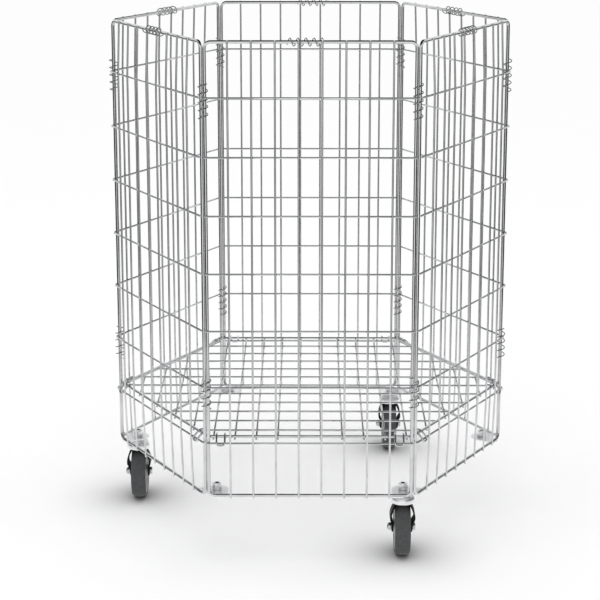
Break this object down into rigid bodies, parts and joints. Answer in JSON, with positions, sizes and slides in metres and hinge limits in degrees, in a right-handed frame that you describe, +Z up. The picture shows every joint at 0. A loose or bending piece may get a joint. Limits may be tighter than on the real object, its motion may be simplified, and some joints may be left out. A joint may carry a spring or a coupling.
{
  "type": "hexagonal wire mesh container on castors",
  "caption": "Open-topped hexagonal wire mesh container with a lift-out wire shelf as its floor, on swivel castors.",
  "frame": {"origin": "on the floor, under the middle of the hexagon", "axes": "+X to the right corner of the hexagon, +Y from the front panel to the back panel, +Z up"},
  "size_m": [0.7326, 0.6699, 0.9226],
  "materials": {
    "zinc_wire": "bright zinc-plated steel wire",
    "zinc_sheet": "zinc-plated pressed steel",
    "zinc_fastener": "zinc-plated bolts and nuts",
    "black_sheet": "black coated pressed steel",
    "grey_plastic": "moulded grey plastic",
    "tread": "dark grey rubber tread",
    "slide_plastic": "white plastic slide ring"
  },
  "bodies": {
    "cage": {"panel_front": "zinc_wire", "panel_front_right": "zinc_wire", "panel_back_right": "zinc_wire", "panel_back": "zinc_wire", "panel_back_left": "zinc_wire", "panel_front_left": "zinc_wire", "hinge_coils_lower": "zinc_wire", "hinge_coils_upper": "zinc_wire", "rim_coils": "zinc_wire", "corner_plate_right": "zinc_sheet", "corner_plate_back_right": "zinc_sheet", "corner_plate_back_left": "zinc_sheet", "corner_plate_left": "zinc_sheet", "corner_plate_front_left": "zinc_sheet", "corner_plate_front_right": "zinc_sheet", "corner_nuts": "zinc_fastener", "corner_bolts": "zinc_fastener", "castor_stems": "zinc_fastener", "castor_heads": "zinc_sheet"},
    "shelf": {"shelf_grid": "zinc_wire", "shelf_hooks": "zinc_wire"},
    "fork_left": {"castor_left_thrust_ring": "slide_plastic", "castor_left_fork": "black_sheet", "castor_left_axle_bolt": "zinc_fastener", "castor_left_axle_nut": "zinc_fastener", "castor_left_bush": "zinc_sheet"},
    "wheel_left": {"castor_left_wheel": "grey_plastic", "castor_left_tyre": "tread"},
    "fork_back_right": {"castor_back_right_thrust_ring": "slide_plastic", "castor_back_right_fork": "black_sheet", "castor_back_right_axle_bolt": "zinc_fastener", "castor_back_right_axle_nut": "zinc_fastener", "castor_back_right_bush": "zinc_sheet"},
    "wheel_back_right": {"castor_back_right_wheel": "grey_plastic", "castor_back_right_tyre": "tread"},
    "fork_front_right": {"castor_front_right_thrust_ring": "slide_plastic", "castor_front_right_fork": "black_sheet", "castor_front_right_axle_bolt": "zinc_fastener", "castor_front_right_axle_nut": "zinc_fastener", "castor_front_right_bush": "zinc_sheet"},
    "wheel_front_right": {"castor_front_right_wheel": "grey_plastic", "castor_front_right_tyre": "tread"}
  },
  "joints": [
    {"name": "shelf_lift", "type": "slide", "parent": "cage", "child": "shelf", "axis": [0, 0, 1], "range_m": [0, 0.04]},
    {"name": "swivel_left", "type": "hinge", "parent": "cage", "child": "fork_left", "pos_m": [-0.32531, 0, 0.11], "axis": [0, 0, 1], "continuous": true},
    {"name": "roll_left", "type": "hinge", "parent": "fork_left", "child": "wheel_left", "pos_m": [-0.32531, 0.0175, 0.05], "axis": [1, 0, 0], "continuous": true},
    {"name": "swivel_back_right", "type": "hinge", "parent": "cage", "child": "fork_back_right", "pos_m": [0.16266, 0.28173, 0.11], "axis": [0, 0, 1], "continuous": true},
    {"name": "roll_back_right", "type": "hinge", "parent": "fork_back_right", "child": "wheel_back_right", "pos_m": [0.16266, 0.29923, 0.05], "axis": [1, 0, 0], "continuous": true},
    {"name": "swivel_front_right", "type": "hinge", "parent": "cage", "child": "fork_front_right", "pos_m": [0.16266, -0.28173, 0.11], "axis": [0, 0, 1], "continuous": true},
    {"name": "roll_front_right", "type": "hinge", "parent": "fork_front_right", "child": "wheel_front_right", "pos_m": [0.16266, -0.26423, 0.05], "axis": [1, 0, 0], "continuous": true}
  ]
}
